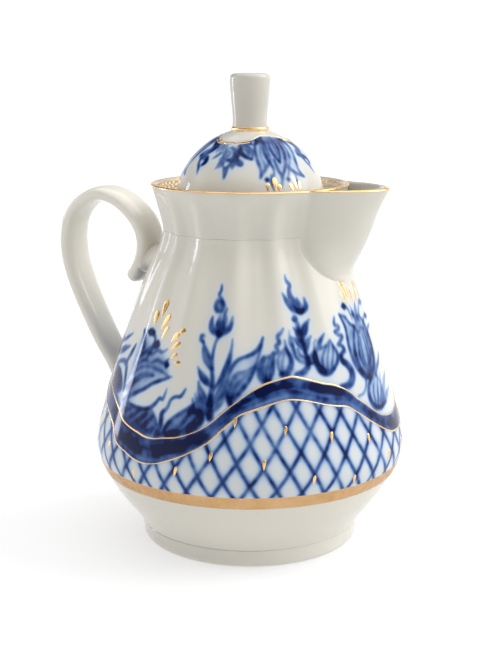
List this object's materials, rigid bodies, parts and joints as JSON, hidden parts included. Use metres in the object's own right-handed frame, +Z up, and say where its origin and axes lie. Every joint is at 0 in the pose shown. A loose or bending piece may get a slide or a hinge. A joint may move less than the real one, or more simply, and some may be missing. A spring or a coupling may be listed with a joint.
{
  "type": "teapot",
  "caption": "Tall covered porcelain teapot with a flared neck, beak spout, scrolled strap handle, cobalt painting, gilded bands and an inset domed lid with a tall knob.",
  "frame": {"origin": "middle of the whole part's footprint, on the surface the foot stands on; the pot's own axis is at x = 0.012 m", "axes": "+Z up along the pot's axis, +X the way the beak spout points, with the handle on -X; the part is the same on +Y and -Y"},
  "size_m": [0.1541, 0.13, 0.1944],
  "materials": {
    "painted_porcelain": "white porcelain under a clear glaze, with cobalt-blue painting and small gold drops",
    "neck_porcelain": "white glazed porcelain, with gold lacework inside the rim",
    "foot_porcelain": "white glazed porcelain",
    "spout_porcelain": "white glazed porcelain",
    "handle_porcelain": "white glazed porcelain",
    "rim_gold": "bright burnished gold line",
    "belly_gold": "satin gold band",
    "lid_porcelain": "white porcelain under a clear glaze, with cobalt-blue painting and small gold drops",
    "collar_porcelain": "white glazed porcelain",
    "knob_porcelain": "white glazed porcelain",
    "knob_gold": "bright burnished gold line"
  },
  "bodies": {
    "pot": {"pot_body": "painted_porcelain", "neck_collar": "neck_porcelain", "foot_ring": "foot_porcelain", "beak_spout": "spout_porcelain", "strap_handle": "handle_porcelain", "rim_gilding": "rim_gold", "belly_gilding": "belly_gold"},
    "lid": {"lid_dome": "lid_porcelain", "lid_collar": "collar_porcelain", "lid_knob": "knob_porcelain", "knob_gilding": "knob_gold"}
  },
  "joints": [
    {"name": "lid_lift", "type": "slide", "parent": "pot", "child": "lid", "axis": [0, 0, 1], "range_m": [0, 0.045]}
  ]
}
